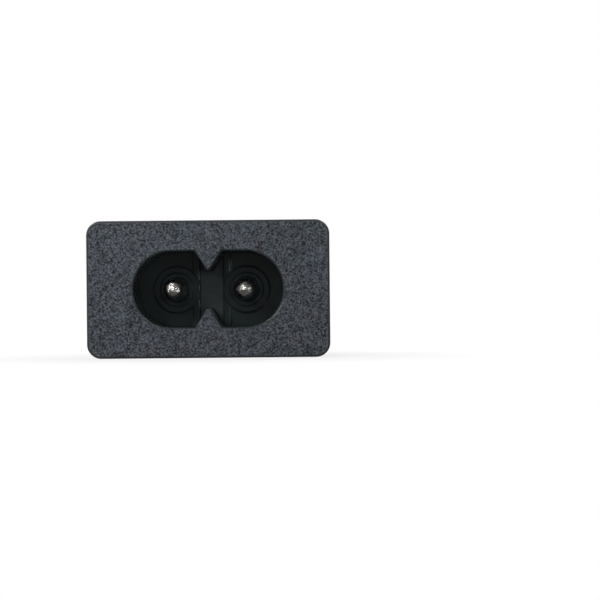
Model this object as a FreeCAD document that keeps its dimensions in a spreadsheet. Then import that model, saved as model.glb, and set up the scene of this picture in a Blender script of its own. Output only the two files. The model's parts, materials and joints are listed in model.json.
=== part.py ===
import FreeCAD, Part
import math
import os
import re

import Sketcher

# Two-pin snap-in power socket, millimetres.
# X runs across the two pins, Y runs from the panel into the cabinet, Z is up.
# The origin is the middle of the flange's back face, where the panel's front face rests.

doc = FreeCAD.newDocument("power_socket")
sheet = doc.addObject("Spreadsheet::Sheet", "Dims")

DIMENSIONS = (
    ("flange_width", 28.8, "flange across the pins"),
    ("flange_height", 16.3, "flange the short way"),
    ("flange_thick", 2.7, "flange in front of the panel"),
    ("flange_corner", 1.7, "radius of the flange's corners in plan"),
    ("flange_edge", 0.3, "rounding of the flange's front rim"),
    ("recess_length", 17.8, "figure-of-eight recess across the pins"),
    ("recess_height", 9.1, "recess the short way"),
    ("recess_depth", 12.5, "recess from the front face to its floor"),
    ("notch_width", 3.24, "base of each keying ridge"),
    ("notch_depth", 2.28, "height of each keying ridge"),
    ("notch_nose", 0.25, "radius on the ridge's nose"),
    ("mouth_round", 0.2, "rounding of the recess's front rim"),
    ("rib_centre", 1.88, "rib across the floor beside each keying ridge, from the centre plane"),
    ("rib_width", 0.85, "width of that rib"),
    ("rib_rise", 0.5, "height of that rib"),
    ("ring_diameter", 5.7, "low ring round each pin on the floor"),
    ("ring_rise", 0.6, "height of the low ring"),
    ("boss_diameter", 4.15, "boss round each pin"),
    ("boss_rise", 0.75, "height of the boss"),
    ("cup_diameter", 3.1, "cup sunk in the boss round the pin"),
    ("cup_depth", 0.4, "depth of the cup"),
    ("web_thick", 0.6, "web behind the cup that stops the pin's shoulder"),
    ("web_clear", 0.03, "air round the contact in the web"),
    ("body_width", 19.1, "body block across the pins"),
    ("body_height", 12.0, "body block the short way"),
    ("body_depth", 12.45, "body block behind the flange"),
    ("body_bevel", 0.6, "bevel along the body's four long corners"),
    ("channel_width", 2.75, "centre channel on each long side"),
    ("channel_depth", 1.1, "channel in front of the raised block"),
    ("channel_block", 6.1, "where the raised block starts, behind the flange"),
    ("channel_sink", 0.4, "block's face below the pads"),
    ("label_width", 5.85, "bare label panel across the pins"),
    ("label_length", 8.0, "bare label panel front to back"),
    ("label_start", 2.55, "label panel behind the flange"),
    ("label_centre", 5.53, "label panel's middle from the centre plane"),
    ("label_sink", 0.18, "label panel below the pad"),
    ("mark_diameter", 1.1, "ejector mark on one pad"),
    ("mark_centre", 6.0, "ejector mark from the centre plane"),
    ("mark_deep", 1.4, "ejector mark behind the flange"),
    ("mark_sink", 0.08, "depth of the ejector mark"),
    ("shroud_front", 23.6, "curved end walls at the flange"),
    ("shroud_back", 21.0, "curved end walls at their rear end"),
    ("shroud_height", 11.0, "curved end walls the short way"),
    ("shroud_corner", 4.2, "radius of the end walls"),
    ("shroud_length", 8.5, "end walls behind the flange"),
    ("sleeve_wall", 1.0, "wall round the recess behind the end walls"),
    ("latch_height", 9.5, "snap latch the short way"),
    ("latch_tip_out", 14.35, "latch nose from the centre plane"),
    ("latch_tip_deep", 2.05, "latch nose behind the flange"),
    ("latch_land", 0.35, "flat on the latch nose"),
    ("latch_end_out", 12.6, "latch free end, where its grip face starts"),
    ("latch_end_deep", 0.4, "latch free end behind the flange"),
    ("latch_knee_out", 13.05, "foot of the latch ramp"),
    ("latch_knee_deep", 4.65, "foot of the latch ramp behind the flange"),
    ("latch_arm_out", 12.1, "outside of the spring arm"),
    ("latch_arm_deep", 7.9, "where the arm runs straight"),
    ("latch_gap", 0.45, "slot between the end wall and the latch"),
    ("latch_heel_thick", 1.7, "heel that joins the arm to the body"),
    ("latch_heel_inset", 0.4, "heel in front of the body's rear face"),
    ("latch_heel_round", 1.5, "rounding of the latch heel"),
    ("fin_thick", 1.6, "insulating fin between the terminals"),
    ("fin_height", 11.2, "fin the short way"),
    ("fin_reach", 6.15, "fin past the body's rear face"),
    ("fin_round", 0.45, "rounding of the fin's long edges"),
    ("prong_width", 1.73, "each terminal guard prong"),
    ("prong_gap", 0.93, "wire gap between two prongs"),
    ("prong_centre", 5.7, "middle of the gap from the centre plane"),
    ("prong_reach", 3.45, "prong tip past the body's rear face"),
    ("prong_taper", 1.05, "length of the tapered tip"),
    ("prong_nose", 0.55, "half of the prong left at its tip"),
    ("prong_thick", 2.2, "prong the short way"),
    ("prong_clear", 0.1, "air between prong and terminal tab"),
    ("root_depth", 0.5, "how far latches, fin and prongs are rooted in the body"),
    ("over_cut", 0.2, "how far a cutting or joining outline runs past a face"),
    ("pin_pitch", 8.6, "pin centres"),
    ("pin_diameter", 2.36, "contact pin"),
    ("pin_setback", 3.4, "pin tip behind the front face"),
    ("pin_nose", 1.95, "radius of the shallow domed tip"),
    ("pin_edge", 0.7, "rounding between the dome and the contact"),
    ("neck_diameter", 2.0, "undercut between contact and press shank"),
    ("neck_clear", 0.25, "undercut starts in front of the boss"),
    ("shank_diameter", 2.7, "press shank through the recess floor"),
    ("rivet_diameter", 1.7, "pin tail through the terminal foot"),
    ("head_diameter", 2.6, "closed head on the pin tail"),
    ("head_rise", 0.5, "height of the closed head"),
    ("head_bevel", 0.3, "bevel on the closed head"),
    ("seat_depth", 0.6, "pocket for the terminal foot in the rear face"),
    ("seat_clear", 0.1, "pocket clearance round the foot"),
    ("sheet_thick", 0.5, "terminal sheet"),
    ("bend_radius", 0.2, "inside radius of the terminal's bend"),
    ("foot_low", 1.9, "foot below the pin axis"),
    ("tab_level", 1.6, "underside of the tab above the pin axis"),
    ("tab_inner", 2.9, "tab's inner edge from the centre plane"),
    ("tab_outer", 7.9, "tab's outer edge from the centre plane"),
    ("tab_reach", 4.5, "tab tip past the body's rear face"),
    ("tab_slot_inner", 4.1, "relief slot, inner side"),
    ("tab_slot_width", 0.9, "relief slot width"),
    ("tab_slot_length", 2.3, "relief slot from the tab's tip"),
    ("flap_drop", 1.7, "how far the inner flap is bent down"),
    ("flap_spread", 1.0, "how far the inner flap leans to the fin"),
    ("flap_clear", 0.8, "air between the inner flap and the body"),
    ("flap_short", 0.7, "inner leg shorter than the tab"),
    ("flap_taper", 0.75, "how far the inner flap's free edge runs in towards its tip"),
)

for row, (alias, size, note) in enumerate(DIMENSIONS, start=1):
    sheet.set(f"A{row}", alias)
    sheet.set(f"B{row}", str(size))
    sheet.set(f"C{row}", note)
    sheet.setAlias(f"B{row}", alias)
doc.recompute()


def bound(expression):
    """Writes an expression over the sheet's aliases in the document's own form."""
    return re.sub(
        r"[a-z]+(?:_[a-z]+)+", lambda found: "Dims." + found.group(0), expression
    )


def value(expression):
    """Number that an expression over the sheet's aliases gives now."""
    return float(sheet.evalExpression(bound(expression)))


def plane_of(body, role):
    """Origin plane of a body, found by its role."""
    for feature in body.Origin.OriginFeatures:
        if feature.Role == role:
            return feature
    raise RuntimeError(f"{body.Label} has no {role}")


def new_sketch(body, name, role, offset="0"):
    """Sketch attached flat to an origin plane of the body, moved along its normal."""
    sketch = body.newObject("Sketcher::SketchObject", name)
    sketch.AttachmentSupport = [(plane_of(body, role), "")]
    sketch.MapMode = "FlatFace"
    if offset != "0":
        sketch.setExpression(".AttachmentOffset.Base.z", bound(offset))
    doc.recompute()
    return sketch


def dimension(sketch, kind, places, expression):
    """Adds one driving constraint and binds it to the sheet."""
    index = sketch.addConstraint(Sketcher.Constraint(kind, *places, value(expression)))
    sketch.setExpression(f"Constraints[{index}]", bound(expression))


def locate(sketch, geometry, end, place):
    """Ties one point of a curve to the sketch origin by two bound distances."""
    across, along = place
    if across == "0":
        sketch.addConstraint(Sketcher.Constraint("PointOnObject", geometry, end, -2))
    else:
        dimension(sketch, "DistanceX", (-1, 1, geometry, end), across)
    if along == "0":
        sketch.addConstraint(Sketcher.Constraint("PointOnObject", geometry, end, -1))
    else:
        dimension(sketch, "DistanceY", (-1, 1, geometry, end), along)


def arc_between(start, end, radius, turn):
    """Arc from start to end; turn is 1 when its centre lies on the left, else -1."""
    chord = end.sub(start)
    reach = math.sqrt(max(radius**2 - (chord.Length / 2) ** 2, 0.0))
    left = FreeCAD.Vector(-chord.y, chord.x, 0).normalize()
    centre = start.add(end).multiply(0.5).add(left.multiply(turn * reach))
    circle = Part.Circle(centre, FreeCAD.Vector(0, 0, 1), radius)
    first, last = (start, end) if turn > 0 else (end, start)
    angles = [math.atan2(p.y - centre.y, p.x - centre.x) for p in (first, last)]
    return Part.ArcOfCircle(circle, *angles)


def outline(sketch, places, arcs=None):
    """Closed outline through bound places; arcs maps a place's index to (radius, turn)."""
    arcs = arcs or {}
    corners = [FreeCAD.Vector(value(x), value(y), 0) for x, y in places]
    count = len(places)
    ends = []
    for index, corner in enumerate(corners):
        after = corners[(index + 1) % count]
        if index in arcs:
            radius, turn = arcs[index]
            curve = arc_between(corner, after, value(radius), turn)
            geometry = sketch.addGeometry(curve, False)
            ends.append((geometry, 1, 2) if turn > 0 else (geometry, 2, 1))
        else:
            geometry = sketch.addGeometry(Part.LineSegment(corner, after), False)
            ends.append((geometry, 1, 2))
    for index, place in enumerate(places):
        geometry, start, _ = ends[index]
        before, _, stop = ends[index - 1]
        sketch.addConstraint(Sketcher.Constraint("Coincident", before, stop, geometry, start))
        locate(sketch, geometry, start, place)
    for index, (radius, _) in arcs.items():
        dimension(sketch, "Radius", (ends[index][0],), radius)


def rounded_box(sketch, half_width, half_height, radius):
    """Centred rectangle with rounded corners."""
    wide = f"({half_width})"
    high = f"({half_height})"
    in_wide = f"({half_width} - {radius})"
    in_high = f"({half_height} - {radius})"
    places = (
        (f"-{in_wide}", f"-{high}"),
        (in_wide, f"-{high}"),
        (wide, f"-{in_high}"),
        (wide, in_high),
        (in_wide, high),
        (f"-{in_wide}", high),
        (f"-{wide}", in_high),
        (f"-{wide}", f"-{in_high}"),
    )
    outline(sketch, places, {index: (radius, 1) for index in (1, 3, 5, 7)})


def box(sketch, left, right, low, high):
    """Plain rectangle between bound sides."""
    outline(sketch, ((left, low), (right, low), (right, high), (left, high)))


def disc(sketch, across, along, radius):
    """Circle at a bound place."""
    centre = FreeCAD.Vector(value(across), value(along), 0)
    circle = Part.Circle(centre, FreeCAD.Vector(0, 0, 1), value(radius))
    geometry = sketch.addGeometry(circle, False)
    dimension(sketch, "Radius", (geometry,), radius)
    locate(sketch, geometry, 3, (across, along))


def sweep(body, kind, name, sketch, length, backwards=False, centred=False):
    """Pad or pocket of a sketch by a bound length."""
    feature = body.newObject(f"PartDesign::{kind}", name)
    feature.Profile = sketch
    feature.setExpression("Length", bound(length))
    feature.Reversed = backwards
    if centred:
        feature.SideType = "Symmetric"
    sketch.Visibility = False
    doc.recompute()
    return feature


def mirror(body, name, feature, role):
    """Mirror image of a feature across an origin plane of the body."""
    copy = body.newObject("PartDesign::Mirrored", name)
    copy.Originals = [feature]
    copy.MirrorPlane = (plane_of(body, role), [""])
    body.Tip = copy
    doc.recompute()
    return copy


def edges_where(feature, test):
    """Names of the feature's edges whose every vertex passes a test."""
    names = []
    for index, edge in enumerate(feature.Shape.Edges, start=1):
        if edge.Vertexes and all(test(vertex.Point) for vertex in edge.Vertexes):
            names.append(f"Edge{index}")
    return names


def round_edges(body, name, feature, radius, test):
    """Fillet of the feature's edges that pass a test."""
    fillet = body.newObject("PartDesign::Fillet", name)
    fillet.Base = (feature, edges_where(feature, test))
    fillet.setExpression("Radius", bound(radius))
    doc.recompute()
    return fillet


def near(a, b):
    """Whether two lengths are the same to a micron."""
    return abs(a - b) < 0.001


# One moulding: flange, body, end walls, snap latches, fin and guard prongs.
housing = doc.addObject("PartDesign::Body", "housing")
housing.Label = "housing"

flange_sketch = new_sketch(housing, "flange_sketch", "XZ_Plane")
rounded_box(flange_sketch, "flange_width / 2", "flange_height / 2", "flange_corner")
flange = sweep(housing, "Pad", "flange", flange_sketch, "flange_thick")
front = -value("flange_thick")
round_edges(housing, "flange_rim", flange, "flange_edge", lambda p: near(p.y, front))

block_sketch = new_sketch(housing, "block_sketch", "XZ_Plane")
HALF_WIDE = "body_width / 2"
HALF_HIGH = "body_height / 2"
outline(
    block_sketch,
    (
        (f"-({HALF_WIDE} - body_bevel)", f"-({HALF_HIGH})"),
        (f"{HALF_WIDE} - body_bevel", f"-({HALF_HIGH})"),
        (HALF_WIDE, f"-({HALF_HIGH} - body_bevel)"),
        (HALF_WIDE, f"{HALF_HIGH} - body_bevel"),
        (f"{HALF_WIDE} - body_bevel", HALF_HIGH),
        (f"-({HALF_WIDE} - body_bevel)", HALF_HIGH),
        (f"-({HALF_WIDE})", f"{HALF_HIGH} - body_bevel"),
        (f"-({HALF_WIDE})", f"-({HALF_HIGH} - body_bevel)"),
    ),
)
sweep(housing, "Pad", "block", block_sketch, "body_depth", backwards=True)

shroud_front_sketch = new_sketch(housing, "shroud_front_sketch", "XZ_Plane")
rounded_box(shroud_front_sketch, "shroud_front / 2", "shroud_height / 2", "shroud_corner")
shroud_back_sketch = new_sketch(housing, "shroud_back_sketch", "XZ_Plane", "-shroud_length")
rounded_box(shroud_back_sketch, "shroud_back / 2", "shroud_height / 2", "shroud_corner")
shroud = housing.newObject("PartDesign::AdditiveLoft", "end_walls")
shroud.Profile = shroud_front_sketch
shroud.Sections = [shroud_back_sketch]
shroud.Ruled = True
doc.recompute()

END = "recess_height / 2"
MIDDLE = f"(recess_length / 2 - {END})"
SLEEVE = f"({END} + sleeve_wall)"
HEEL = "body_depth - latch_heel_inset"
SLEEVE_START = "shroud_length - root_depth"
sleeve_sketch = new_sketch(housing, "sleeve_sketch", "XZ_Plane", f"-({SLEEVE_START})")
outline(
    sleeve_sketch,
    (
        (f"-{MIDDLE}", f"-{SLEEVE}"),
        (MIDDLE, f"-{SLEEVE}"),
        (f"{MIDDLE} + {SLEEVE}", "0"),
        (MIDDLE, SLEEVE),
        (f"-{MIDDLE}", SLEEVE),
        (f"-({MIDDLE} + {SLEEVE})", "0"),
    ),
    {1: (SLEEVE, 1), 2: (SLEEVE, 1), 4: (SLEEVE, 1), 5: (SLEEVE, 1)},
)
sweep(housing, "Pad", "sleeve", sleeve_sketch, f"{HEEL} - ({SLEEVE_START})", backwards=True)

latch_sketch = new_sketch(housing, "latch_sketch", "XY_Plane")
IN_BODY = f"{HALF_WIDE} - root_depth"
SLOT_END = f"{HEEL} - latch_heel_thick"
ARM_IN = "shroud_back / 2 + latch_gap"
END_IN = "shroud_front / 2 - (shroud_front - shroud_back) / 2 * latch_end_deep / shroud_length + latch_gap"
KNEE_HIGH = "(latch_knee_out - latch_arm_out)"
KNEE_LONG = "(latch_arm_deep - latch_knee_deep)"
KNEE_ROUND = f"({KNEE_HIGH}^2 + {KNEE_LONG}^2) / (2 * {KNEE_HIGH})"
outline(
    latch_sketch,
    (
        (IN_BODY, SLOT_END),
        (ARM_IN, SLOT_END),
        (ARM_IN, "shroud_length"),
        (END_IN, "latch_end_deep"),
        ("latch_end_out", "latch_end_deep"),
        ("latch_tip_out", "latch_tip_deep"),
        ("latch_tip_out", "latch_tip_deep + latch_land"),
        ("latch_knee_out", "latch_knee_deep"),
        ("latch_arm_out", "latch_arm_deep"),
        ("latch_arm_out", f"{HEEL} - latch_heel_round"),
        ("latch_arm_out - latch_heel_round", HEEL),
        (IN_BODY, HEEL),
    ),
    {7: (KNEE_ROUND, -1), 9: ("latch_heel_round", 1)},
)
latch = sweep(housing, "Pad", "latch", latch_sketch, "latch_height", centred=True)
mirror(housing, "other_latch", latch, "YZ_Plane")

fin_sketch = new_sketch(housing, "fin_sketch", "XZ_Plane", "-(body_depth - root_depth)")
rounded_box(fin_sketch, "fin_thick / 2", "fin_height / 2", "fin_round")
fin = sweep(housing, "Pad", "fin", fin_sketch, "fin_reach + root_depth", backwards=True)
rear = value("body_depth + fin_reach")
round_edges(housing, "fin_tip", fin, "fin_round", lambda p: near(p.y, rear))

prong_sketch = new_sketch(
    housing, "prong_sketch", "XY_Plane", "tab_level + sheet_thick + prong_clear"
)
PRONG_ROOT = "body_depth - root_depth"
PRONG_END = "body_depth + prong_reach"
for lean in ("-1", "1"):
    gap_side = f"prong_centre + {lean} * prong_gap / 2"
    far_side = f"prong_centre + {lean} * (prong_gap / 2 + prong_width)"
    nose = f"prong_centre + {lean} * (prong_gap / 2 + prong_nose)"
    places = (
        (gap_side, PRONG_ROOT),
        (far_side, PRONG_ROOT),
        (far_side, f"{PRONG_END} - prong_taper"),
        (nose, PRONG_END),
        (gap_side, f"{PRONG_END} - prong_nose"),
    )
    outline(prong_sketch, places, {3: ("prong_nose", int(lean))})
prongs = sweep(housing, "Pad", "prongs", prong_sketch, "prong_thick")
mirror(housing, "other_prongs", prongs, "YZ_Plane")

recess_sketch = new_sketch(housing, "recess_sketch", "XZ_Plane", "flange_thick")
FLANK = "atan(notch_width / 2 / notch_depth)"
NOSE_HALF = f"notch_nose * cos({FLANK})"
NOSE_HIGH = f"{END} - notch_depth + notch_nose * (1 - sin({FLANK}))"
outline(
    recess_sketch,
    (
        (f"-{MIDDLE}", f"-({END})"),
        ("-notch_width / 2", f"-({END})"),
        (f"-({NOSE_HALF})", f"-({NOSE_HIGH})"),
        (NOSE_HALF, f"-({NOSE_HIGH})"),
        ("notch_width / 2", f"-({END})"),
        (MIDDLE, f"-({END})"),
        ("recess_length / 2", "0"),
        (MIDDLE, END),
        ("notch_width / 2", END),
        (NOSE_HALF, NOSE_HIGH),
        (f"-({NOSE_HALF})", NOSE_HIGH),
        ("-notch_width / 2", END),
        (f"-{MIDDLE}", END),
        ("-recess_length / 2", "0"),
    ),
    {
        2: ("notch_nose", -1),
        5: (END, 1),
        6: (END, 1),
        9: ("notch_nose", -1),
        12: (END, 1),
        13: (END, 1),
    },
)
recess = sweep(housing, "Pocket", "recess", recess_sketch, "recess_depth")
rim = value("recess_length / 2 + mouth_round")
round_edges(
    housing,
    "recess_mouth",
    recess,
    "mouth_round",
    lambda p: near(p.y, front) and abs(p.x) < rim,
)

FLOOR_DEEP = "recess_depth - flange_thick"
FLOOR = f"-({FLOOR_DEEP})"
PIN_OUT = "pin_pitch / 2"
rib_sketch = new_sketch(housing, "rib_sketch", "XY_Plane")
for sign in ("-1", "1"):
    box(
        rib_sketch,
        f"{sign} * rib_centre - rib_width / 2",
        f"{sign} * rib_centre + rib_width / 2",
        f"{FLOOR_DEEP} - rib_rise",
        f"{FLOOR_DEEP} + over_cut",
    )
sweep(housing, "Pad", "ribs", rib_sketch, "recess_height + 2 * over_cut", centred=True)
for name, diameter, rise in (
    ("ring", "ring_diameter", "ring_rise"),
    ("boss", "boss_diameter", "boss_rise"),
):
    sketch = new_sketch(housing, f"{name}_sketch", "XZ_Plane", FLOOR)
    disc(sketch, PIN_OUT, "0", f"{diameter} / 2")
    disc(sketch, f"-{PIN_OUT}", "0", f"{diameter} / 2")
    sweep(housing, "Pad", f"{name}s", sketch, rise)

cup_sketch = new_sketch(housing, "cup_sketch", "XZ_Plane", f"{FLOOR} + boss_rise")
disc(cup_sketch, PIN_OUT, "0", "cup_diameter / 2")
disc(cup_sketch, f"-{PIN_OUT}", "0", "cup_diameter / 2")
sweep(housing, "Pocket", "cups", cup_sketch, "cup_depth")
WEB_BACK = f"{FLOOR_DEEP} - boss_rise + cup_depth + web_thick"
web_sketch = new_sketch(housing, "web_sketch", "XZ_Plane", f"{FLOOR} + boss_rise")
disc(web_sketch, PIN_OUT, "0", "pin_diameter / 2 + web_clear")
disc(web_sketch, f"-{PIN_OUT}", "0", "pin_diameter / 2 + web_clear")
sweep(housing, "Pocket", "web_holes", web_sketch, "cup_depth + web_thick")
bore_sketch = new_sketch(housing, "bore_sketch", "XZ_Plane", "-body_depth")
disc(bore_sketch, PIN_OUT, "0", "shank_diameter / 2")
disc(bore_sketch, f"-{PIN_OUT}", "0", "shank_diameter / 2")
sweep(housing, "Pocket", "press_bores", bore_sketch, f"body_depth - ({WEB_BACK})", backwards=True)

seat_sketch = new_sketch(housing, "seat_sketch", "XZ_Plane", "-body_depth")
box(
    seat_sketch,
    "tab_inner - seat_clear",
    "tab_outer + seat_clear",
    "-(foot_low + seat_clear)",
    "tab_level + sheet_thick + prong_clear",
)
seat = sweep(housing, "Pocket", "terminal_seat", seat_sketch, "seat_depth", backwards=True)
mirror(housing, "other_seat", seat, "YZ_Plane")

channel_sketch = new_sketch(housing, "channel_sketch", "XZ_Plane")
box(
    channel_sketch,
    "-channel_width / 2",
    "channel_width / 2",
    f"{HALF_HIGH} - channel_depth",
    f"{HALF_HIGH} + over_cut",
)
channel = sweep(housing, "Pocket", "channel", channel_sketch, "channel_block")
mirror(housing, "other_channel", channel, "XY_Plane")
saddle_sketch = new_sketch(housing, "saddle_sketch", "XZ_Plane", "-channel_block")
box(
    saddle_sketch,
    "-channel_width / 2",
    "channel_width / 2",
    f"{HALF_HIGH} - channel_sink",
    f"{HALF_HIGH} + over_cut",
)
saddle = sweep(housing, "Pocket", "saddle", saddle_sketch, "body_depth - channel_block")
mirror(housing, "other_saddle", saddle, "XY_Plane")

label_sketch = new_sketch(housing, "label_sketch", "XY_Plane", HALF_HIGH)
for sign in ("-1", "1"):
    box(
        label_sketch,
        f"{sign} * label_centre - label_width / 2",
        f"{sign} * label_centre + label_width / 2",
        "label_start",
        "label_start + label_length",
    )
labels = sweep(housing, "Pocket", "label_panels", label_sketch, "label_sink")
mirror(housing, "other_label_panels", labels, "XY_Plane")

mark_sketch = new_sketch(housing, "mark_sketch", "XY_Plane", HALF_HIGH)
disc(mark_sketch, "-mark_centre", "mark_deep", "mark_diameter / 2")
sweep(housing, "Pocket", "ejector_mark", mark_sketch, "mark_sink")


def make_pin(label, side):
    """Turned contact pin, its tail closed over the terminal's foot."""
    body = doc.addObject("PartDesign::Body", label)
    body.Label = label
    tip = "pin_setback - flange_thick"
    slope = "((pin_diameter / 2 - pin_edge) / (pin_nose - pin_edge))"
    upright = f"sqrt(1 - {slope}^2)"
    nose_end = f"{tip} + pin_nose * (1 - {upright})"
    boss_top = f"{FLOOR_DEEP} - boss_rise"
    foot = "body_depth - seat_depth"
    profile = new_sketch(body, f"{label}_profile", "XY_Plane")
    outline(
        profile,
        (
            ("0", tip),
            (f"pin_nose * {slope}", nose_end),
            ("pin_diameter / 2", f"{nose_end} + pin_edge * {upright}"),
            ("pin_diameter / 2", f"{boss_top} - neck_clear"),
            ("neck_diameter / 2", f"{boss_top} - neck_clear"),
            ("neck_diameter / 2", WEB_BACK),
            ("shank_diameter / 2", WEB_BACK),
            ("shank_diameter / 2", foot),
            ("rivet_diameter / 2", foot),
            ("rivet_diameter / 2", f"{foot} + sheet_thick"),
            ("head_diameter / 2", f"{foot} + sheet_thick"),
            ("head_diameter / 2", f"{foot} + sheet_thick + head_rise - head_bevel"),
            ("head_diameter / 2 - head_bevel", f"{foot} + sheet_thick + head_rise"),
            ("0", f"{foot} + sheet_thick + head_rise"),
        ),
        {0: ("pin_nose", 1), 1: ("pin_edge", 1)},
    )
    turned = body.newObject("PartDesign::Revolution", f"{label}_turned")
    turned.Profile = profile
    turned.ReferenceAxis = (profile, ["V_Axis"])
    turned.Angle = 360
    profile.Visibility = False
    body.setExpression(".Placement.Base.x", bound(f"{side} * pin_pitch / 2"))
    doc.recompute()
    return body


def make_terminal(label, side):
    """Bent sheet terminal: riveted foot, solder tab and a flap leaning to the fin."""
    body = doc.addObject("PartDesign::Body", label)
    body.Label = label
    turn = int(side)
    foot = "body_depth - seat_depth"
    outside = "bend_radius + sheet_thick"
    tab_end = "(body_depth + tab_reach)"
    slot_end = f"({tab_end} - tab_slot_length)"
    flap_start = "(body_depth + flap_clear)"
    flap_end = f"({tab_end} - flap_short)"
    bent = new_sketch(body, f"{label}_bent", "YZ_Plane", f"{side} * tab_inner")
    outline(
        bent,
        (
            (foot, "-foot_low"),
            (f"{foot} + sheet_thick", "-foot_low"),
            (f"{foot} + sheet_thick", "tab_level - bend_radius"),
            (f"{foot} + {outside}", "tab_level"),
            (tab_end, "tab_level"),
            (tab_end, "tab_level + sheet_thick"),
            (f"{foot} + {outside}", "tab_level + sheet_thick"),
            (foot, "tab_level - bend_radius"),
        ),
        {2: ("bend_radius", -1), 6: (outside, 1)},
    )
    sweep(body, "Pad", f"{label}_strip", bent, "tab_outer - tab_inner", backwards=turn < 0)

    hole = new_sketch(body, f"{label}_hole", "XZ_Plane", f"-({foot})")
    disc(hole, f"{side} * pin_pitch / 2", "0", "rivet_diameter / 2")
    sweep(body, "Pocket", f"{label}_rivet_hole", hole, "sheet_thick")

    relief = new_sketch(body, f"{label}_relief", "XY_Plane", "tab_level + sheet_thick")
    outline(
        relief,
        (
            (f"{side} * tab_slot_inner", f"{slot_end} + tab_slot_width / 2"),
            (f"{side} * (tab_slot_inner + tab_slot_width / 2)", slot_end),
            (
                f"{side} * (tab_slot_inner + tab_slot_width)",
                f"{slot_end} + tab_slot_width / 2",
            ),
            (f"{side} * (tab_slot_inner + tab_slot_width)", f"{tab_end} + over_cut"),
            (f"{side} * tab_slot_inner", f"{tab_end} + over_cut"),
        ),
        {0: ("tab_slot_width / 2", turn), 1: ("tab_slot_width / 2", turn)},
    )
    sweep(body, "Pocket", f"{label}_slot", relief, "sheet_thick")

    trim = new_sketch(body, f"{label}_trim", "XY_Plane", "tab_level + sheet_thick")
    box(
        trim,
        f"{side} * (tab_inner - over_cut)",
        f"{side} * (tab_slot_inner + tab_slot_width / 2)",
        flap_end,
        f"{tab_end} + over_cut",
    )
    sweep(body, "Pocket", f"{label}_short_leg", trim, "sheet_thick")

    flap = new_sketch(body, f"{label}_flap", "XZ_Plane", f"-{flap_start}")
    lean = "atan(flap_spread / flap_drop)"
    skin_x = f"sheet_thick * cos({lean})"
    skin_z = f"sheet_thick * sin({lean})"
    outline(
        flap,
        (
            (f"{side} * (tab_inner + {skin_x})", "tab_level"),
            (f"{side} * (tab_inner + {skin_x})", "tab_level + sheet_thick"),
            (f"{side} * tab_inner", "tab_level + sheet_thick"),
            (f"{side} * (tab_inner - flap_spread)", "tab_level - flap_drop + sheet_thick"),
            (
                f"{side} * (tab_inner - flap_spread + {skin_x})",
                f"tab_level - flap_drop + sheet_thick - {skin_z}",
            ),
        ),
    )
    sweep(body, "Pad", f"{label}_flap_pad", flap, f"{flap_end} - {flap_start}", backwards=True)

    slant = new_sketch(body, f"{label}_slant", "XY_Plane", "tab_level + sheet_thick")
    free_edge = "tab_inner - flap_spread"
    outline(
        slant,
        (
            (f"{side} * ({free_edge})", flap_start),
            (f"{side} * ({free_edge} + flap_taper)", flap_end),
            (f"{side} * ({free_edge} + flap_taper)", f"{flap_end} + over_cut"),
            (f"{side} * ({free_edge} - over_cut)", f"{flap_end} + over_cut"),
            (f"{side} * ({free_edge} - over_cut)", flap_start),
        ),
    )
    sweep(body, "Pocket", f"{label}_flap_slant", slant, "flap_drop + sheet_thick")
    return body


sub_parts = [
    housing,
    make_pin("left_pin", "-1"),
    make_pin("right_pin", "1"),
    make_terminal("left_terminal", "-1"),
    make_terminal("right_terminal", "1"),
]
doc.recompute()

for item in doc.Objects:
    faults = [state for state in item.State if state in ("Invalid", "Error")]
    if faults:
        raise RuntimeError(f"{item.Label}: {faults}")

os.makedirs("parts", exist_ok=True)
for body in sub_parts:
    shape = body.Shape
    if shape.isNull() or not shape.isValid() or len(shape.Solids) != 1:
        raise RuntimeError(f"{body.Label} is not one sound solid")
    shape.exportStep(f"parts/{body.Label}.step")
    bounds = shape.BoundBox
    print(
        body.Label,
        "x %.2f %.2f" % (bounds.XMin, bounds.XMax),
        "y %.2f %.2f" % (bounds.YMin, bounds.YMax),
        "z %.2f %.2f" % (bounds.ZMin, bounds.ZMax),
        "volume %.1f" % shape.Volume,
    )
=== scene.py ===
"""Finish, turned contacts and stage for a two-pin snap-in power socket.

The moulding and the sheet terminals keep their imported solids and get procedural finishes.
The two contact pins are turned again here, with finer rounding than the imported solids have.
Run as a script, the file builds the whole scene. The panel lists the same steps.
"""

import json
import math
from types import SimpleNamespace

import bmesh
import bpy
from bpy.props import FloatProperty, FloatVectorProperty, IntProperty, PointerProperty
from mathutils import Matrix, Vector


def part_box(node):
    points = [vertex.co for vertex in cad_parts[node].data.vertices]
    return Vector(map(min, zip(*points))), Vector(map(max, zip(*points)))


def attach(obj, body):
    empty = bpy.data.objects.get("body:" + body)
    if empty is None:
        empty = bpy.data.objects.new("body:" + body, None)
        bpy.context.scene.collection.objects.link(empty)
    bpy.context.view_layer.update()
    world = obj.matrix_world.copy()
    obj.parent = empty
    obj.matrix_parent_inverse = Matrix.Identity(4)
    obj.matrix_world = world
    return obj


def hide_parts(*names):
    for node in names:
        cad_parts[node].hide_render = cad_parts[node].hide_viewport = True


bl_info = {
    "name": "Two-pin power socket",
    "version": (1, 0, 0),
    "blender": (4, 5, 0),
    "location": "View3D > Sidebar > Socket",
    "description": "Finishes, contact pins and stage for a snap-in two-pin power socket",
    "category": "Object",
}

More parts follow.
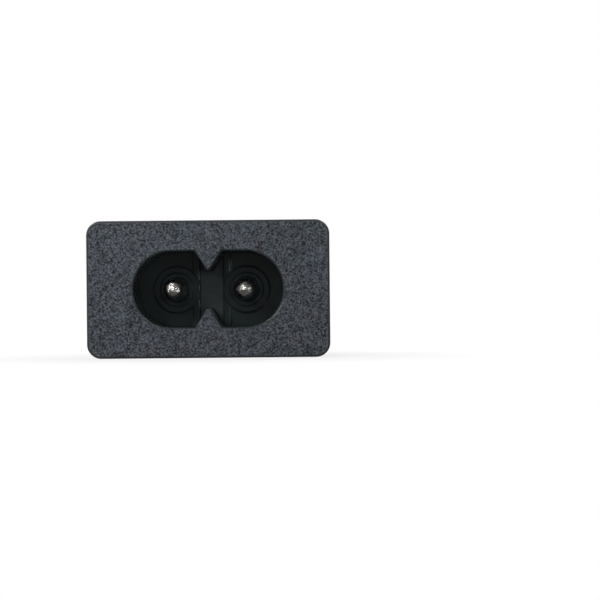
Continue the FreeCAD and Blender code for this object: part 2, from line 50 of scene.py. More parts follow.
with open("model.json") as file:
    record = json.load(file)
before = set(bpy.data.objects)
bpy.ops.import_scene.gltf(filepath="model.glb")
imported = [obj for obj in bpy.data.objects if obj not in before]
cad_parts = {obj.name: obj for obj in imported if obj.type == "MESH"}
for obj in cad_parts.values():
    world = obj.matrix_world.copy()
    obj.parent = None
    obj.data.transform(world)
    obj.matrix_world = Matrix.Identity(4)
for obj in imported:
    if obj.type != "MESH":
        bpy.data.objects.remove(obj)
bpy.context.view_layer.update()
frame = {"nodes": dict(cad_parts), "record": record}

MM = 0.001
MOUNTS = {mount["name"]: mount for mount in frame["record"]["mounts"]}
CONTACT = MOUNTS["right_contact"]
HOUSING_LOW, HOUSING_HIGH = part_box("housing")
PIN_LOW, PIN_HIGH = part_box("right_pin")
PIN_OUT = CONTACT["pos_m"][0]
SHANK_RADIUS = (PIN_HIGH.x - PIN_LOW.x) / 2

# Points closer than these count as one point, or as lying on a ring.
WELD = 0.001 * MM
NEAR = 0.01 * MM
# Faces that meet at a steeper angle than this keep a sharp edge.
SHARP = math.radians(35)

# The middle of a noise's range, over which a finish changes from one look to the other.
NARROW = (0.35, 0.65)
WIDE = (0.30, 0.70)

WHITE = (1.0, 1.0, 1.0, 1.0)


def length(name, description, millimetres):
    """A size in metres, given in millimetres."""
    return FloatProperty(
        name=name,
        description=description,
        default=millimetres * MM,
        min=0.0,
        precision=5,
        unit="LENGTH",
    )


def position(name, description, millimetres):
    """A place in metres, given in millimetres."""
    return FloatVectorProperty(
        name=name,
        description=description,
        default=tuple(part * MM for part in millimetres),
        size=3,
        precision=5,
        subtype="XYZ",
        unit="LENGTH",
    )


def share(name, description, default):
    """A number from nought to one."""
    return FloatProperty(
        name=name, description=description, default=default, min=0.0, max=1.0, subtype="FACTOR"
    )


def colour(name, description, default):
    """A linear colour."""
    return FloatVectorProperty(
        name=name, description=description, default=default, min=0.0, max=1.0, size=3, subtype="COLOR"
    )


def count(name, description, default):
    """A whole number of facets."""
    return IntProperty(name=name, description=description, default=default, min=1)


def power(name, description, watts):
    """A lamp's power."""
    return FloatProperty(name=name, description=description, default=watts, min=0.0, unit="POWER")


class SOCKET_PG_moulding(bpy.types.PropertyGroup):
    """Finish of the moulded housing."""

    # Spark texture colours: the grain's own tone, with painted shade in the hollows and painted glints on
    # the crests.
    hollow_and_painted_shade: colour("Flange dark", "Hollows of the spark texture", (0.001, 0.002, 0.004))
    crest_and_painted_glint: colour("Flange light", "Crests of the spark texture", (0.080, 0.098, 0.118))
    violet_crest_and_painted_glint: colour("Flange warm", "Crests with a violet cast", (0.088, 0.094, 0.118))
    rim_tint: colour("Rim", "Smooth plastic on the flange's rounded rim", (0.028, 0.030, 0.033))
    # Recess colours: the black plastic lightened as painted light, most at the mouth, so the recess darkens
    # inward as painted shade.
    mouth_black_and_painted_light: colour("Recess wall", "Smooth plastic at the recess's mouth", (0.032, 0.041, 0.043))
    recess_black_and_painted_light: colour("Recess floor", "Smooth plastic on the recess's floor", (0.017, 0.026, 0.028))
    body_tint: colour("Body", "Smooth plastic behind the flange", (0.0070, 0.0078, 0.0090))
    block_tint: colour("Block", "Textured block in the centre channel", (0.030, 0.032, 0.036))
    flange_rough: share("Flange roughness", "Roughness of the spark texture", 0.62)
    rim_rough: share("Rim roughness", "Roughness of the flange's rim", 0.45)
    recess_rough: share("Recess roughness", "Roughness inside the recess", 0.14)
    body_rough: share("Body roughness", "Roughness of the body", 0.15)
    block_rough: share("Block roughness", "Roughness of the textured block", 0.5)
    grain: length("Grain", "Spacing of the spark texture", 0.20)
    grain_height: length("Grain height", "Height of the spark texture", 0.07)
    smear: length("Smear", "Size of the patches where the gloss changes", 4.0)
    peel: length("Orange peel", "Spacing of the orange peel", 0.9)
    peel_height: length("Orange peel height", "Height of the orange peel", 0.012)
    sink: length("Sink", "Size of the sinks in the body's walls", 6.0)
    sink_depth: length("Sink depth", "Depth of the sinks in the body's walls", 0.5)
    edge: length("Edge", "Softened edges of the flange", 0.12)
    floor_edge: length("Floor edge", "Softened edges on the recess floor", 0.264)
    body_edge: length("Body edge", "Softened edges of the body", 0.13)
    flange_corner: length("Flange corner", "Radius of the flange's corners", 1.7)
    flange_rim: length("Flange rim", "Rounding of the flange's front rim", 0.3)
    recess_length: length("Recess length", "Recess across the pins", 17.8)
    recess_height: length("Recess height", "Recess the short way", 9.1)
    recess_depth: length("Recess depth", "Front face to recess floor", 12.5)
    ring_height: length("Ring height", "Rings and bosses on the recess floor stay below this", 1.2)
    channel_width: length("Channel width", "Centre channel on the long sides", 2.75)
    channel_block: length("Channel block", "Start of the textured block", 6.1)
    body_depth: length("Body depth", "Panel to the rear face", 12.45)


class SOCKET_PG_pins(bpy.types.PropertyGroup):
    """Size and finish of the contact pins."""

    radius: length("Radius", "Contact radius", CONTACT["dims"]["r_mm"])
    nose_ring: length("Nose ring", "Where the shallow nose starts to slope", 0.39)
    nose_rise: length("Nose rise", "How far the nose slopes back at the contact", 0.329)
    nose_blend: length("Nose blend", "Rounding of the nose, along the pin's face", 0.385)
    edge_blend: length("Edge blend", "Rounding between nose and contact", 0.467)
    neck_radius: length("Neck radius", "Undercut at the pin's foot", 1.0)
    contact_end: length("Contact end", "Contact ends behind the panel", 8.8)
    shoulder: length("Shoulder", "Press shank starts behind the panel", 10.05)
    foot: length("Foot", "Terminal foot behind the panel", 11.85)
    sheet: length("Sheet", "Terminal sheet thickness", 0.5)
    tail_radius: length("Tail radius", "Tail through the terminal foot", 0.85)
    head_radius: length("Head radius", "Closed head", 1.3)
    head_bevel: length("Head bevel", "Bevel on the closed head", 0.3)
    edge: length("Edge", "Broken edges", 0.05)
    steps: count("Steps", "Facets round the pin", 96)
    nose_steps: count("Nose steps", "Facets across the nose's rounding", 8)
    blend_steps: count("Blend steps", "Facets between nose and contact", 10)
    head_steps: count("Head steps", "Facets across the closed head's bevel", 4)
    edge_steps: count("Edge steps", "Facets across a broken edge", 2)
    plating: colour("Plating", "Nickel", (0.70, 0.68, 0.64))
    handled: share("Handled", "Brightness of handled nickel beside clean nickel", 0.72)
    rough: share("Roughness", "Roughness of the nickel", 0.27)
    patch: length("Patch", "Size of the handled patches", 0.7)
    dimple: length("Dimple", "Spacing of the tumbling dimples", 0.5)
    dimple_depth: length("Dimple depth", "Depth of the tumbling dimples", 0.16)
    mark: length("Mark", "Spacing of the turning marks", 0.12)
    mark_depth: length("Mark depth", "Depth of the turning marks", 0.01)


class SOCKET_PG_terminals(bpy.types.PropertyGroup):
    """Finish of the sheet terminals."""

    tin: colour("Tin", "Bright tin", (0.90, 0.89, 0.87))
    dull: colour("Dull tin", "Tin where it was handled", (0.62, 0.60, 0.57))
    rough: share("Roughness", "Roughness of the tin", 0.3)
    edge: length("Edge", "Softened sheared edges", 0.06)
    patch: length("Patch", "Size of the dull patches", 1.4)
    patch_depth: length("Patch depth", "Relief of the dull patches", 0.05)
    dent: length("Dent", "Size of the dents in the sheet", 2.2)
    dent_depth: length("Dent depth", "Depth of the dents in the sheet", 0.9)
    scratch: length("Scratch", "Spacing of the scratches", 0.16)
    scratch_depth: length("Scratch depth", "Depth of the scratches", 0.008)


class SOCKET_PG_stage(bpy.types.PropertyGroup):
    """Floor, light and camera."""

    floor_tint: colour("Floor", "Floor", (0.86, 0.865, 0.87))
    floor_rough: share("Floor roughness", "Roughness of the floor", 0.8)
    floor_reach: length("Floor reach", "Middle of the floor to its sides", 1500.0)
    floor_cloud: length("Floor cloud", "Size of the faint clouds on the floor", 200.0)
    floor_white: share("Floor white", "White in the floor close to the socket", 0.76)
    shade_near: length("Shade near", "The floor starts to whiten here", 15.0)
    shade_far: length("Shade far", "The floor is white from here", 34.0)
    room: share("Room", "Light from the room", 0.10)
    key_place: position("Key place", "Key softbox", (-30.0, -62.0, 48.0))
    key_size: length("Key size", "Key softbox", 40.0)
    key_power: power("Key", "Key softbox", 0.043)
    fill_place: position("Fill place", "Fill softbox", (-120.0, -280.0, 100.0))
    fill_size: length("Fill size", "Fill softbox", 80.0)
    fill_power: power("Fill", "Fill softbox", 0.075)
    front_place: position("Front place", "Front softbox", (30.0, -295.0, 20.0))
    front_size: length("Front size", "Front softbox", 120.0)
    front_power: power("Front", "Front softbox", 0.16)
    spark_size: length("Spark size", "Small lamps", 25.0)
    high_place: position("High spark place", "Upper small lamp", (-80.0, -260.0, 65.0))
    high_power: power("High spark", "Upper small lamp", 0.06)
    low_place: position("Low spark place", "Lower small lamp", (110.0, -250.0, 8.0))
    low_power: power("Low spark", "Lower small lamp", 0.033)
    strip_place: position("Strip place", "Right side strip, mirrored on the left", (260.0, 100.0, 340.0))
    strip_length: length("Strip length", "Side strips", 320.0)
    strip_width: length("Strip width", "Side strips", 40.0)
    strip_power: power("Strip", "Side strips", 1.4)
    rear_place: position("Rear place", "Rear softbox", (200.0, 350.0, 220.0))
    rear_size: length("Rear size", "Rear softbox", 160.0)
    rear_power: power("Rear", "Rear softbox", 0.6)
    camera_out: length("Camera out", "Camera to the right of the middle", 10.85)
    camera_low: length("Camera low", "Camera below the middle", 1.4)
    camera_far: length("Camera far", "Camera in front of the panel", 277.55)
    camera_lens: FloatProperty(
        name="Lens", description="Focal length in millimetres", default=139.5, min=1.0
    )
    camera_roll: FloatProperty(
        name="Roll", description="Turn about the line of sight", default=math.radians(-0.55), subtype="ANGLE"
    )


class Nodes:
    """A node tree, with short calls that add nodes and join them."""

    def __init__(self, tree):
        self.tree = tree
        self.tree.nodes.clear()

    def add(self, kind):
        """A new node."""
        return self.tree.nodes.new(kind)

    def feed(self, target, source):
        """Joins a socket to a socket, or sets its value."""
        if isinstance(source, bpy.types.NodeSocket):
            self.tree.links.new(source, target)
        else:
            target.default_value = source

    def parts(self, vector):
        """A vector's three parts."""
        node = self.add("ShaderNodeSeparateXYZ")
        self.feed(node.inputs["Vector"], vector)
        return node.outputs

    def math(self, operation, *sources):
        """A sum, product, comparison or the like."""
        node = self.add("ShaderNodeMath")
        node.operation = operation
        for target, source in zip(node.inputs, sources):
            self.feed(target, source)
        return node.outputs["Value"]

    def between(self, value, low, high):
        """One where a value lies between two others."""
        above = self.math("GREATER_THAN", value, low)
        below = self.math("LESS_THAN", value, high)
        return self.math("MULTIPLY", above, below)

    def spread(self, value, low, high, start=0.0, end=1.0, course="LINEAR"):
        """A value's range laid out on another range."""
        node = self.add("ShaderNodeMapRange")
        node.interpolation_type = course
        for name, source in zip(
            ("Value", "From Min", "From Max", "To Min", "To Max"), (value, low, high, start, end)
        ):
            self.feed(node.inputs[name], source)
        return node.outputs["Result"]

    def pick(self, factor, first, second):
        """Two numbers mixed."""
        return self.spread(factor, 0.0, 1.0, first, second)


class Finish(Nodes):
    """A material's nodes, with its shader and a place on the object to work from."""

    def __init__(self, name):
        self.material = bpy.data.materials.new(name)
        self.material.use_nodes = True
        super().__init__(self.material.node_tree)
        self.output = self.add("ShaderNodeOutputMaterial")
        self.shader = self.add("ShaderNodeBsdfPrincipled")
        self.feed(self.output.inputs["Surface"], self.shader.outputs["BSDF"])
        self.place = self.add("ShaderNodeTexCoord").outputs["Object"]
        self.x, self.y, self.z = self.parts(self.place)

    def coat(self, name, source):
        """Joins or sets one of the shader's own sockets."""
        self.feed(self.shader.inputs[name], source)

    def noise(self, size, detail=2.0, rough=0.5, stretch=(1.0, 1.0, 1.0)):
        """Cloudy noise whose lumps are about size metres across."""
        mapping = self.add("ShaderNodeMapping")
        self.feed(mapping.inputs["Vector"], self.place)
        mapping.inputs["Scale"].default_value = stretch
        node = self.add("ShaderNodeTexNoise")
        self.feed(node.inputs["Vector"], mapping.outputs["Vector"])
        node.inputs["Scale"].default_value = 1.0 / size
        node.inputs["Detail"].default_value = detail
        node.inputs["Roughness"].default_value = rough
        return node.outputs["Fac"]

    def specks(self, size, inner=0.15, outer=0.75):
        """High near scattered points about size metres apart, low between them."""
        node = self.add("ShaderNodeTexVoronoi")
        self.feed(node.inputs["Vector"], self.place)
        node.inputs["Scale"].default_value = 1.0 / size
        return self.spread(node.outputs["Distance"], inner, outer, 1.0, 0.0)

    def blend(self, factor, first, second):
        """Two colours mixed."""
        node = self.add("ShaderNodeMix")
        node.data_type = "RGBA"
        self.feed(node.inputs["Factor"], factor)
        for name, source in (("A", first), ("B", second)):
            target = [item for item in node.inputs if item.name == name and item.type == "RGBA"][0]
            self.feed(target, source if isinstance(source, bpy.types.NodeSocket) else (*source, 1.0))
        return [item for item in node.outputs if item.type == "RGBA"][0]

    def soft_edges(self, radius, samples=6):
        """Normals rounded over sharp edges."""
        node = self.add("ShaderNodeBevel")
        node.samples = samples
        self.feed(node.inputs["Radius"], radius)
        return node.outputs["Normal"]

    def bump(self, height, distance, normal=None, strength=1.0):
        """Fine relief on top of a normal."""
        node = self.add("ShaderNodeBump")
        self.feed(node.inputs["Height"], height)
        self.feed(node.inputs["Strength"], strength)
        node.inputs["Distance"].default_value = distance
        if normal is not None:
            self.feed(node.inputs["Normal"], normal)
        return node.outputs["Normal"]


def rim_distance(finish, across, upward, corner):
    """How far a point lies outside the flange's outline, below nought inside it."""
    past_side = finish.math("SUBTRACT", across, HOUSING_HIGH.x - corner)
    past_top = finish.math("SUBTRACT", upward, HOUSING_HIGH.z - corner)
    out_side = finish.math("MAXIMUM", past_side, 0.0)
    out_top = finish.math("MAXIMUM", past_top, 0.0)
    square = finish.math("MULTIPLY", out_top, out_top)
    beyond = finish.math("SQRT", finish.math("MULTIPLY_ADD", out_side, out_side, square))
    within = finish.math("MINIMUM", finish.math("MAXIMUM", past_side, past_top), 0.0)
    return finish.math("SUBTRACT", finish.math("ADD", beyond, within), corner)


def moulding_zones(finish, sizes):
    """The moulding's zones: one inside a zone, nought outside it."""
    face = HOUSING_LOW.y
    floor = face + sizes.recess_depth
    lip = 0.25 * MM
    skin = 0.003 * MM
    rim_starts = -1.1 * sizes.flange_rim
    rim_whole = -0.6 * sizes.flange_rim
    rim_back = face + 1.2 * sizes.flange_rim
    ring_tops = floor - sizes.ring_height
    across = finish.math("ABSOLUTE", finish.x)
    upward = finish.math("ABSOLUTE", finish.z)
    recess = finish.math(
        "MULTIPLY",
        finish.math("LESS_THAN", across, sizes.recess_length / 2 + lip),
        finish.math("LESS_THAN", upward, sizes.recess_height / 2 + lip),
    )
    recess = finish.math("MULTIPLY", recess, finish.between(finish.y, face + skin, floor + lip))
    flange = finish.math("SUBTRACT", finish.math("LESS_THAN", finish.y, skin), recess)
    flange = finish.math("MAXIMUM", flange, 0.0)
    block = finish.math(
        "MULTIPLY",
        finish.math("LESS_THAN", across, sizes.channel_width / 2),
        finish.between(finish.y, sizes.channel_block, sizes.body_depth + skin),
    )
    outside = rim_distance(finish, across, upward, sizes.flange_corner)
    rim = finish.math(
        "MULTIPLY",
        finish.spread(outside, rim_starts, rim_whole),
        finish.math("LESS_THAN", finish.y, rim_back),
    )
    return SimpleNamespace(
        recess=recess,
        flange=flange,
        block=block,
        rim=rim,
        # This share carries the recess's painted shade, from the face to the ring tops.
        depth=finish.spread(finish.y, face, ring_tops),
        ground=finish.math("GREATER_THAN", finish.y, ring_tops),
    )


def moulding_colour(finish, zones, grain, sizes):
    """Grain on the flange, its crests lightened as painted glints and its hollows darkened as painted shade;
    even colours on the smooth parts, save the recess, painted lighter at its mouth than deep inside.
    """
    glint_spacing = 1.15 * sizes.grain
    patch = 7 * sizes.grain
    cast_patch = 9 * sizes.grain
    cast_stretch = (1.0, 1.0, 1.3)
    cast_band = (0.40, 0.62)
    glint_share = 0.55
    grain_share = (-0.22, 0.70)
    patch_share = (-0.10, 0.06)
    coarse = finish.noise(patch, detail=2.0)
    cast = finish.noise(cast_patch, detail=1.0, stretch=cast_stretch)
    # The grain's contrast and the scattered specks are painted glints on the crests and painted shade in the
    # hollows, over the grain's own tone.
    grain_and_glint = finish.spread(grain, *NARROW, *grain_share)
    grain_and_glint = finish.math("MULTIPLY_ADD", finish.specks(glint_spacing), glint_share, grain_and_glint)
    grain_and_glint = finish.math("ADD", grain_and_glint, finish.spread(coarse, *WIDE, *patch_share))
    light = finish.blend(finish.spread(cast, *cast_band), sizes.crest_and_painted_glint, sizes.violet_crest_and_painted_glint)
    flange = finish.blend(grain_and_glint, sizes.hollow_and_painted_shade, light)
    flange = finish.blend(zones.rim, flange, sizes.rim_tint)
    # Painted light at the recess's mouth, fading to painted shade towards the floor.
    recess = finish.blend(zones.depth, sizes.mouth_black_and_painted_light, sizes.recess_black_and_painted_light)
    block = finish.blend(finish.spread(grain, *NARROW), sizes.body_tint, sizes.block_tint)
    smooth = finish.blend(zones.block, sizes.body_tint, block)
    smooth = finish.blend(zones.recess, smooth, recess)
    return finish.blend(zones.flange, smooth, flange)


def moulding_roughness(finish, zones, sizes):
    """Dull flange, glossy recess and body, with faint smears all over."""
    smear_range = (-0.03, 0.06)
    cloud = finish.noise(sizes.smear, detail=3.0)
    smooth = finish.pick(zones.recess, sizes.body_rough, sizes.recess_rough)
    smooth = finish.pick(zones.block, smooth, sizes.block_rough)
    flange = finish.pick(zones.rim, sizes.flange_rough, sizes.rim_rough)
    roughness = finish.pick(zones.flange, smooth, flange)
    return finish.math("ADD", roughness, finish.spread(cloud, *WIDE, *smear_range))


def moulding_relief(finish, zones, grain, sizes):
    """Softened edges under spark texture, orange peel and the sinks of the body's walls."""
    block_relief = 0.5
    sink_relief = 0.6
    textured = finish.math("MULTIPLY", zones.flange, finish.math("SUBTRACT", 1.0, zones.rim))
    textured = finish.math("MULTIPLY_ADD", zones.block, block_relief, textured)
    body = finish.math("SUBTRACT", 1.0, finish.math("ADD", zones.flange, zones.recess))
    edge = finish.pick(zones.flange, sizes.body_edge, sizes.edge)
    edge = finish.pick(zones.recess, edge, finish.math("MULTIPLY", zones.ground, sizes.floor_edge))
    peel = finish.noise(sizes.peel, detail=1.0)
    sinks = finish.noise(sizes.sink, detail=1.0)
    normal = finish.soft_edges(edge)
    normal = finish.bump(grain, sizes.grain_height, normal, strength=textured)
    normal = finish.bump(peel, sizes.peel_height, normal, strength=0.35)
    return finish.bump(
        sinks, sizes.sink_depth, normal, strength=finish.math("MULTIPLY", body, sink_relief)
    )


def moulded_plastic(sizes):
    """Black moulding: spark texture on the flange, smooth rim, recess and body."""
    finish = Finish("moulded_black")
    zones = moulding_zones(finish, sizes)
    grain = finish.noise(sizes.grain, detail=2.0, rough=0.6)
    finish.coat("Base Color", moulding_colour(finish, zones, grain, sizes))
    finish.coat("Roughness", moulding_roughness(finish, zones, sizes))
    finish.coat("Normal", moulding_relief(finish, zones, grain, sizes))
    return finish.material


def nickel(sizes):
    """Nickel plating with tumbling dimples and faint turning marks."""
    finish = Finish("nickel_plate")
    handled_band = (0.35, 0.70)
    smoothest = sizes.rough - 0.06
    roughest = sizes.rough + 0.1
    round_the_pin = (0.2, 2.5, 0.2)
    handled_tint = tuple(sizes.handled * part for part in sizes.plating)
    patches = finish.noise(sizes.patch, detail=3.0)
    dimples = finish.noise(sizes.dimple, detail=1.5)
    marks = finish.noise(sizes.mark, detail=2.0, stretch=round_the_pin)
    worn = finish.spread(patches, *handled_band)
    finish.coat("Base Color", finish.blend(worn, sizes.plating, handled_tint))
    finish.coat("Metallic", 1.0)
    finish.coat("Roughness", finish.spread(patches, *WIDE, smoothest, roughest))
    normal = finish.bump(dimples, sizes.dimple_depth)
    finish.coat("Normal", finish.bump(marks, sizes.mark_depth, normal, strength=0.35))
    return finish.material


def bright_tin(sizes):
    """Tin on sheet brass, dulled in patches and scratched along the strip."""
    finish = Finish("bright_tin")
    dull_band = (0.40, 0.70)
    smoothest = sizes.rough - 0.08
    roughest = sizes.rough + 0.14
    along_the_strip = (1.0, 0.12, 1.0)
    patches = finish.noise(sizes.patch, detail=3.0)
    dents = finish.noise(sizes.dent, detail=1.0)
    scratches = finish.noise(sizes.scratch, detail=2.0, stretch=along_the_strip)
    finish.coat("Base Color", finish.blend(finish.spread(patches, *dull_band), sizes.tin, sizes.dull))
    finish.coat("Metallic", 1.0)
    finish.coat("Roughness", finish.spread(patches, *WIDE, smoothest, roughest))
    normal = finish.soft_edges(sizes.edge)
    normal = finish.bump(dents, sizes.dent_depth, normal, strength=0.6)
    normal = finish.bump(patches, sizes.patch_depth, normal, strength=0.4)
    finish.coat("Normal", finish.bump(scratches, sizes.scratch_depth, normal, strength=0.5))
    return finish.material


def dress(node, material):
    """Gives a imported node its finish."""
    mesh = frame["nodes"][node].data
    mesh.materials.clear()
    mesh.materials.append(material)


def turned_pin(name, centre, sizes):
    """One contact pin, spun from its half profile and rounded at the tip."""
    nose = PIN_LOW.y
    nose_end = nose + sizes.nose_rise
    head = sizes.foot + sizes.sheet
    head_end = PIN_HIGH.y
    half_profile = (
        (0.0, nose),
        (sizes.nose_ring, nose),
        (sizes.radius, nose_end),
        (sizes.radius, sizes.contact_end),
        (sizes.neck_radius, sizes.contact_end),
        (sizes.neck_radius, sizes.shoulder),
        (SHANK_RADIUS, sizes.shoulder),
        (SHANK_RADIUS, sizes.foot),
        (sizes.tail_radius, sizes.foot),
        (sizes.tail_radius, head),
        (sizes.head_radius, head),
        (sizes.head_radius, head_end),
        (0.0, head_end),
    )
    shape = bmesh.new()
    corners = [shape.verts.new((radius, along, 0.0)) for radius, along in half_profile]
    lines = [shape.edges.new(pair) for pair in zip(corners, corners[1:])]
    bmesh.ops.spin(
        shape,
        geom=corners + lines,
        cent=(0.0, 0.0, 0.0),
        axis=(0.0, 1.0, 0.0),
        angle=math.tau,
        steps=sizes.steps,
        use_merge=True,
        use_duplicate=False,
    )
    bmesh.ops.remove_doubles(shape, verts=shape.verts, dist=WELD)
    bmesh.ops.recalc_face_normals(shape, faces=shape.faces)
    roundings = (
        (sizes.radius, nose_end, sizes.edge_blend, sizes.blend_steps),
        (sizes.nose_ring, nose, sizes.nose_blend, sizes.nose_steps),
        (sizes.head_radius, head_end, sizes.head_bevel, sizes.head_steps),
        (sizes.radius, sizes.contact_end, sizes.edge, sizes.edge_steps),
        (SHANK_RADIUS, sizes.shoulder, sizes.edge, sizes.edge_steps),
    )
    for radius, along, offset, segments in roundings:
        ring = [edge for edge in shape.edges if lies_on_ring(edge, radius, along)]
        bmesh.ops.bevel(
            shape,
            geom=ring,
            offset=offset,
            offset_type="OFFSET",
            affect="EDGES",
            segments=segments,
            profile=0.5,
            material=-1,
        )
    bmesh.ops.translate(shape, verts=shape.verts, vec=(centre, 0.0, 0.0))
    return finished_piece(name, shape)


def lies_on_ring(edge, radius, along):
    """True for an edge of the ring of that radius at that place along the pin."""
    return all(
        abs(math.hypot(vert.co.x, vert.co.z) - radius) < NEAR and abs(vert.co.y - along) < NEAR
        for vert in edge.verts
    )


def finished_piece(name, shape):
    """A new object in the scene from a bmesh, smooth but for its sharp corners."""
    mesh = bpy.data.meshes.new(name)
    shape.to_mesh(mesh)
    shape.free()
    mesh.shade_smooth()
    mesh.set_sharp_from_angle(angle=SHARP)
    piece = bpy.data.objects.new(name, mesh)
    bpy.context.scene.collection.objects.link(piece)
    return piece


def softbox(name, place, aim, size, watts, width=None, mirrored=True, shading=True):
    """A square or long lamp that looks at a point and stays out of the picture."""
    lamp = bpy.data.lights.new(name, "AREA")
    lamp.shape = "RECTANGLE"
    lamp.size = size
    lamp.size_y = width or size
    lamp.energy = watts
    holder = bpy.data.objects.new(name, lamp)
    holder.location = place
    holder.rotation_euler = (Vector(aim) - Vector(place)).to_track_quat("-Z", "Y").to_euler()
    holder.visible_camera = False
    holder.visible_glossy = mirrored
    holder.visible_diffuse = shading
    bpy.context.scene.collection.objects.link(holder)


def white_room(strength):
    """White to the camera, in mirrors white behind the object, and dim in front of it."""
    behind_band = (0.15, 0.90)
    world = bpy.data.worlds.new("studio")
    world.use_nodes = True
    nodes = Nodes(world.node_tree)
    output = nodes.add("ShaderNodeOutputWorld")
    background = nodes.add("ShaderNodeBackground")
    nodes.feed(output.inputs["Surface"], background.outputs["Background"])
    rays = nodes.add("ShaderNodeLightPath").outputs
    direction = nodes.parts(nodes.add("ShaderNodeTexCoord").outputs["Generated"])
    behind = nodes.spread(direction["Y"], *behind_band, course="SMOOTHSTEP")
    shown = nodes.math("MULTIPLY", rays["Is Glossy Ray"], behind)
    shown = nodes.math("MAXIMUM", rays["Is Camera Ray"], shown)
    shown = nodes.math("MAXIMUM", shown, rays["Is Transmission Ray"])
    nodes.feed(background.inputs["Color"], WHITE)
    nodes.feed(background.inputs["Strength"], nodes.pick(shown, strength, 1.0))
    bpy.context.scene.world = world


def pale_floor(sizes):
    """A wide floor under the flange, near white to the camera and still shaded.

    In mirrors it is as bright as the room on its side: dim in front of the panel, white behind it.
    """
    paler = 1.03
    shape = bmesh.new()
    bmesh.ops.create_grid(shape, x_segments=1, y_segments=1, size=sizes.floor_reach)
    bmesh.ops.translate(shape, verts=shape.verts, vec=(0.0, 0.0, HOUSING_LOW.z))
    floor = finished_piece("floor", shape)
    finish = Finish("pale_floor")
    cloud = finish.noise(sizes.floor_cloud, detail=2.0)
    pale_tint = tuple(min(1.0, paler * part) for part in sizes.floor_tint)
    finish.coat("Base Color", finish.blend(cloud, sizes.floor_tint, pale_tint))
    finish.coat("Roughness", sizes.floor_rough)
    white = finish.add("ShaderNodeEmission")
    rays = finish.add("ShaderNodeLightPath").outputs
    mixed = finish.add("ShaderNodeMixShader")
    reach = finish.add("ShaderNodeVectorMath")
    reach.operation = "LENGTH"
    finish.feed(reach.inputs[0], finish.place)
    whiteness = finish.spread(
        reach.outputs["Value"], sizes.shade_near, sizes.shade_far, sizes.floor_white, 1.0
    )
    mirrored = finish.math("MAXIMUM", rays["Is Glossy Ray"], rays["Is Transmission Ray"])
    in_mirrors = finish.spread(finish.y, 0.0, sizes.shade_near, sizes.room, 1.0)
    finish.feed(white.inputs["Strength"], finish.pick(mirrored, 1.0, in_mirrors))
    lifted = finish.math("MULTIPLY", rays["Is Camera Ray"], whiteness)
    lifted = finish.math("MAXIMUM", lifted, mirrored)
    _, plain, lit = mixed.inputs
    finish.feed(mixed.inputs["Fac"], lifted)
    finish.feed(plain, finish.shader.outputs["BSDF"])
    finish.feed(lit, white.outputs["Emission"])
    finish.feed(finish.output.inputs["Surface"], mixed.outputs["Shader"])
    floor.data.materials.append(finish.material)


def studio_lamps(sizes):
    """Softboxes and small lamps in front, strips over both sides and a softbox behind."""
    middle = (0.0, HOUSING_LOW.y, 0.0)
    softbox("key", sizes.key_place, middle, sizes.key_size, sizes.key_power, mirrored=False)
    softbox("fill", sizes.fill_place, middle, sizes.fill_size, sizes.fill_power)
    softbox("front", sizes.front_place, middle, sizes.front_size, sizes.front_power, mirrored=False)
    softbox("high spark", sizes.high_place, middle, sizes.spark_size, sizes.high_power)
    softbox("low spark", sizes.low_place, middle, sizes.spark_size, sizes.low_power)
    out, back, high = sizes.strip_place
    for name, side in (("left strip", -1.0), ("right strip", 1.0)):
        softbox(
            name,
            (side * out, back, high),
            (0.0, back, 0.0),
            sizes.strip_length,
            sizes.strip_power,
            width=sizes.strip_width,
            shading=False,
        )
    softbox("rear", sizes.rear_place, middle, sizes.rear_size, sizes.rear_power, mirrored=False)


def face_on_camera(sizes):
    """A camera in front of the face that looks along the pins."""
    lens = bpy.data.cameras.new("camera")
    lens.lens = sizes.camera_lens
    lens.clip_start = MM
    camera = bpy.data.objects.new("camera", lens)
    moved = Matrix.Translation((sizes.camera_out, -sizes.camera_far, -sizes.camera_low))
    upright = Matrix.Rotation(math.pi / 2, 4, "X")
    rolled = Matrix.Rotation(sizes.camera_roll, 4, "Z")
    camera.matrix_world = moved @ upright @ rolled
    bpy.context.scene.collection.objects.link(camera)
    bpy.context.scene.camera = camera


class SOCKET_OT_finish_housing(bpy.types.Operator):
    """Give the moulded housing its black plastic"""

    bl_idname = "socket.finish_housing"
    bl_label = "Finish housing"

    def execute(self, context):
        dress("housing", moulded_plastic(context.scene.socket_moulding))
        return {"FINISHED"}


class SOCKET_OT_turn_pins(bpy.types.Operator):
    """Turn the two contact pins and plate them"""

    bl_idname = "socket.turn_pins"
    bl_label = "Turn pins"

    def execute(self, context):
        sizes = context.scene.socket_pins
        plating = nickel(sizes)
        for node, side in (("left_pin", -1.0), ("right_pin", 1.0)):
            pin = turned_pin(f"{node}_turned", side * PIN_OUT, sizes)
            pin.data.materials.append(plating)
            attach(pin, "root")
            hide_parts(node)
        return {"FINISHED"}


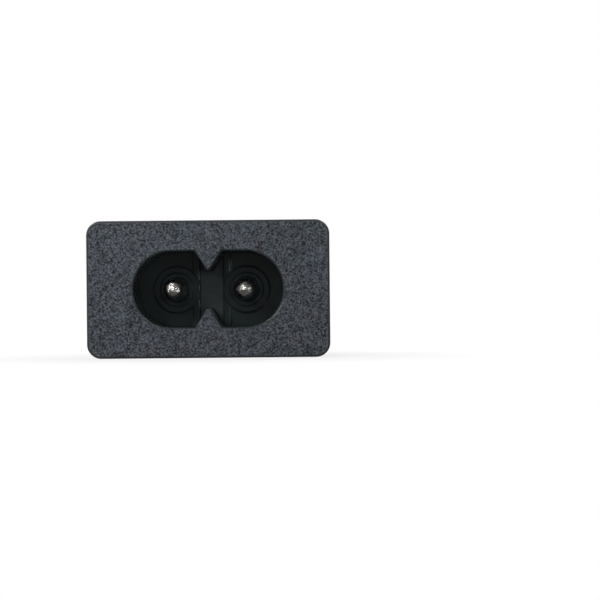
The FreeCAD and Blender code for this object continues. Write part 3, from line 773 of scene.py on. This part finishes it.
class SOCKET_OT_finish_terminals(bpy.types.Operator):
    """Give the sheet terminals their tin"""

    bl_idname = "socket.finish_terminals"
    bl_label = "Finish terminals"

    def execute(self, context):
        tin = bright_tin(context.scene.socket_terminals)
        for node in ("left_terminal", "right_terminal"):
            dress(node, tin)
        return {"FINISHED"}


class SOCKET_OT_set_stage(bpy.types.Operator):
    """Set the floor, the lamps and the camera"""

    bl_idname = "socket.set_stage"
    bl_label = "Set stage"

    def execute(self, context):
        sizes = context.scene.socket_stage
        context.scene.view_settings.view_transform = "Standard"
        pale_floor(sizes)
        white_room(sizes.room)
        studio_lamps(sizes)
        face_on_camera(sizes)
        return {"FINISHED"}


class SOCKET_PT_steps(bpy.types.Panel):
    """The steps that finish the socket"""

    bl_label = "Two-pin socket"
    bl_idname = "SOCKET_PT_steps"
    bl_space_type = "VIEW_3D"
    bl_region_type = "UI"
    bl_category = "Socket"

    def draw(self, context):
        for step in STEPS:
            self.layout.operator(step.bl_idname)


STEPS = (
    SOCKET_OT_finish_housing,
    SOCKET_OT_turn_pins,
    SOCKET_OT_finish_terminals,
    SOCKET_OT_set_stage,
)
SETTINGS = {
    "socket_moulding": SOCKET_PG_moulding,
    "socket_pins": SOCKET_PG_pins,
    "socket_terminals": SOCKET_PG_terminals,
    "socket_stage": SOCKET_PG_stage,
}


def register():
    for name, group in SETTINGS.items():
        bpy.utils.register_class(group)
        setattr(bpy.types.Scene, name, PointerProperty(type=group))
    for step in STEPS:
        bpy.utils.register_class(step)
    bpy.utils.register_class(SOCKET_PT_steps)


def unregister():
    bpy.utils.unregister_class(SOCKET_PT_steps)
    for step in reversed(STEPS):
        bpy.utils.unregister_class(step)
    for name, group in reversed(SETTINGS.items()):
        delattr(bpy.types.Scene, name)
        bpy.utils.unregister_class(group)


def main():
    register()
    bpy.ops.socket.finish_housing()
    bpy.ops.socket.turn_pins()
    bpy.ops.socket.finish_terminals()
    bpy.ops.socket.set_stage()


if __name__ == "__main__":
    main()
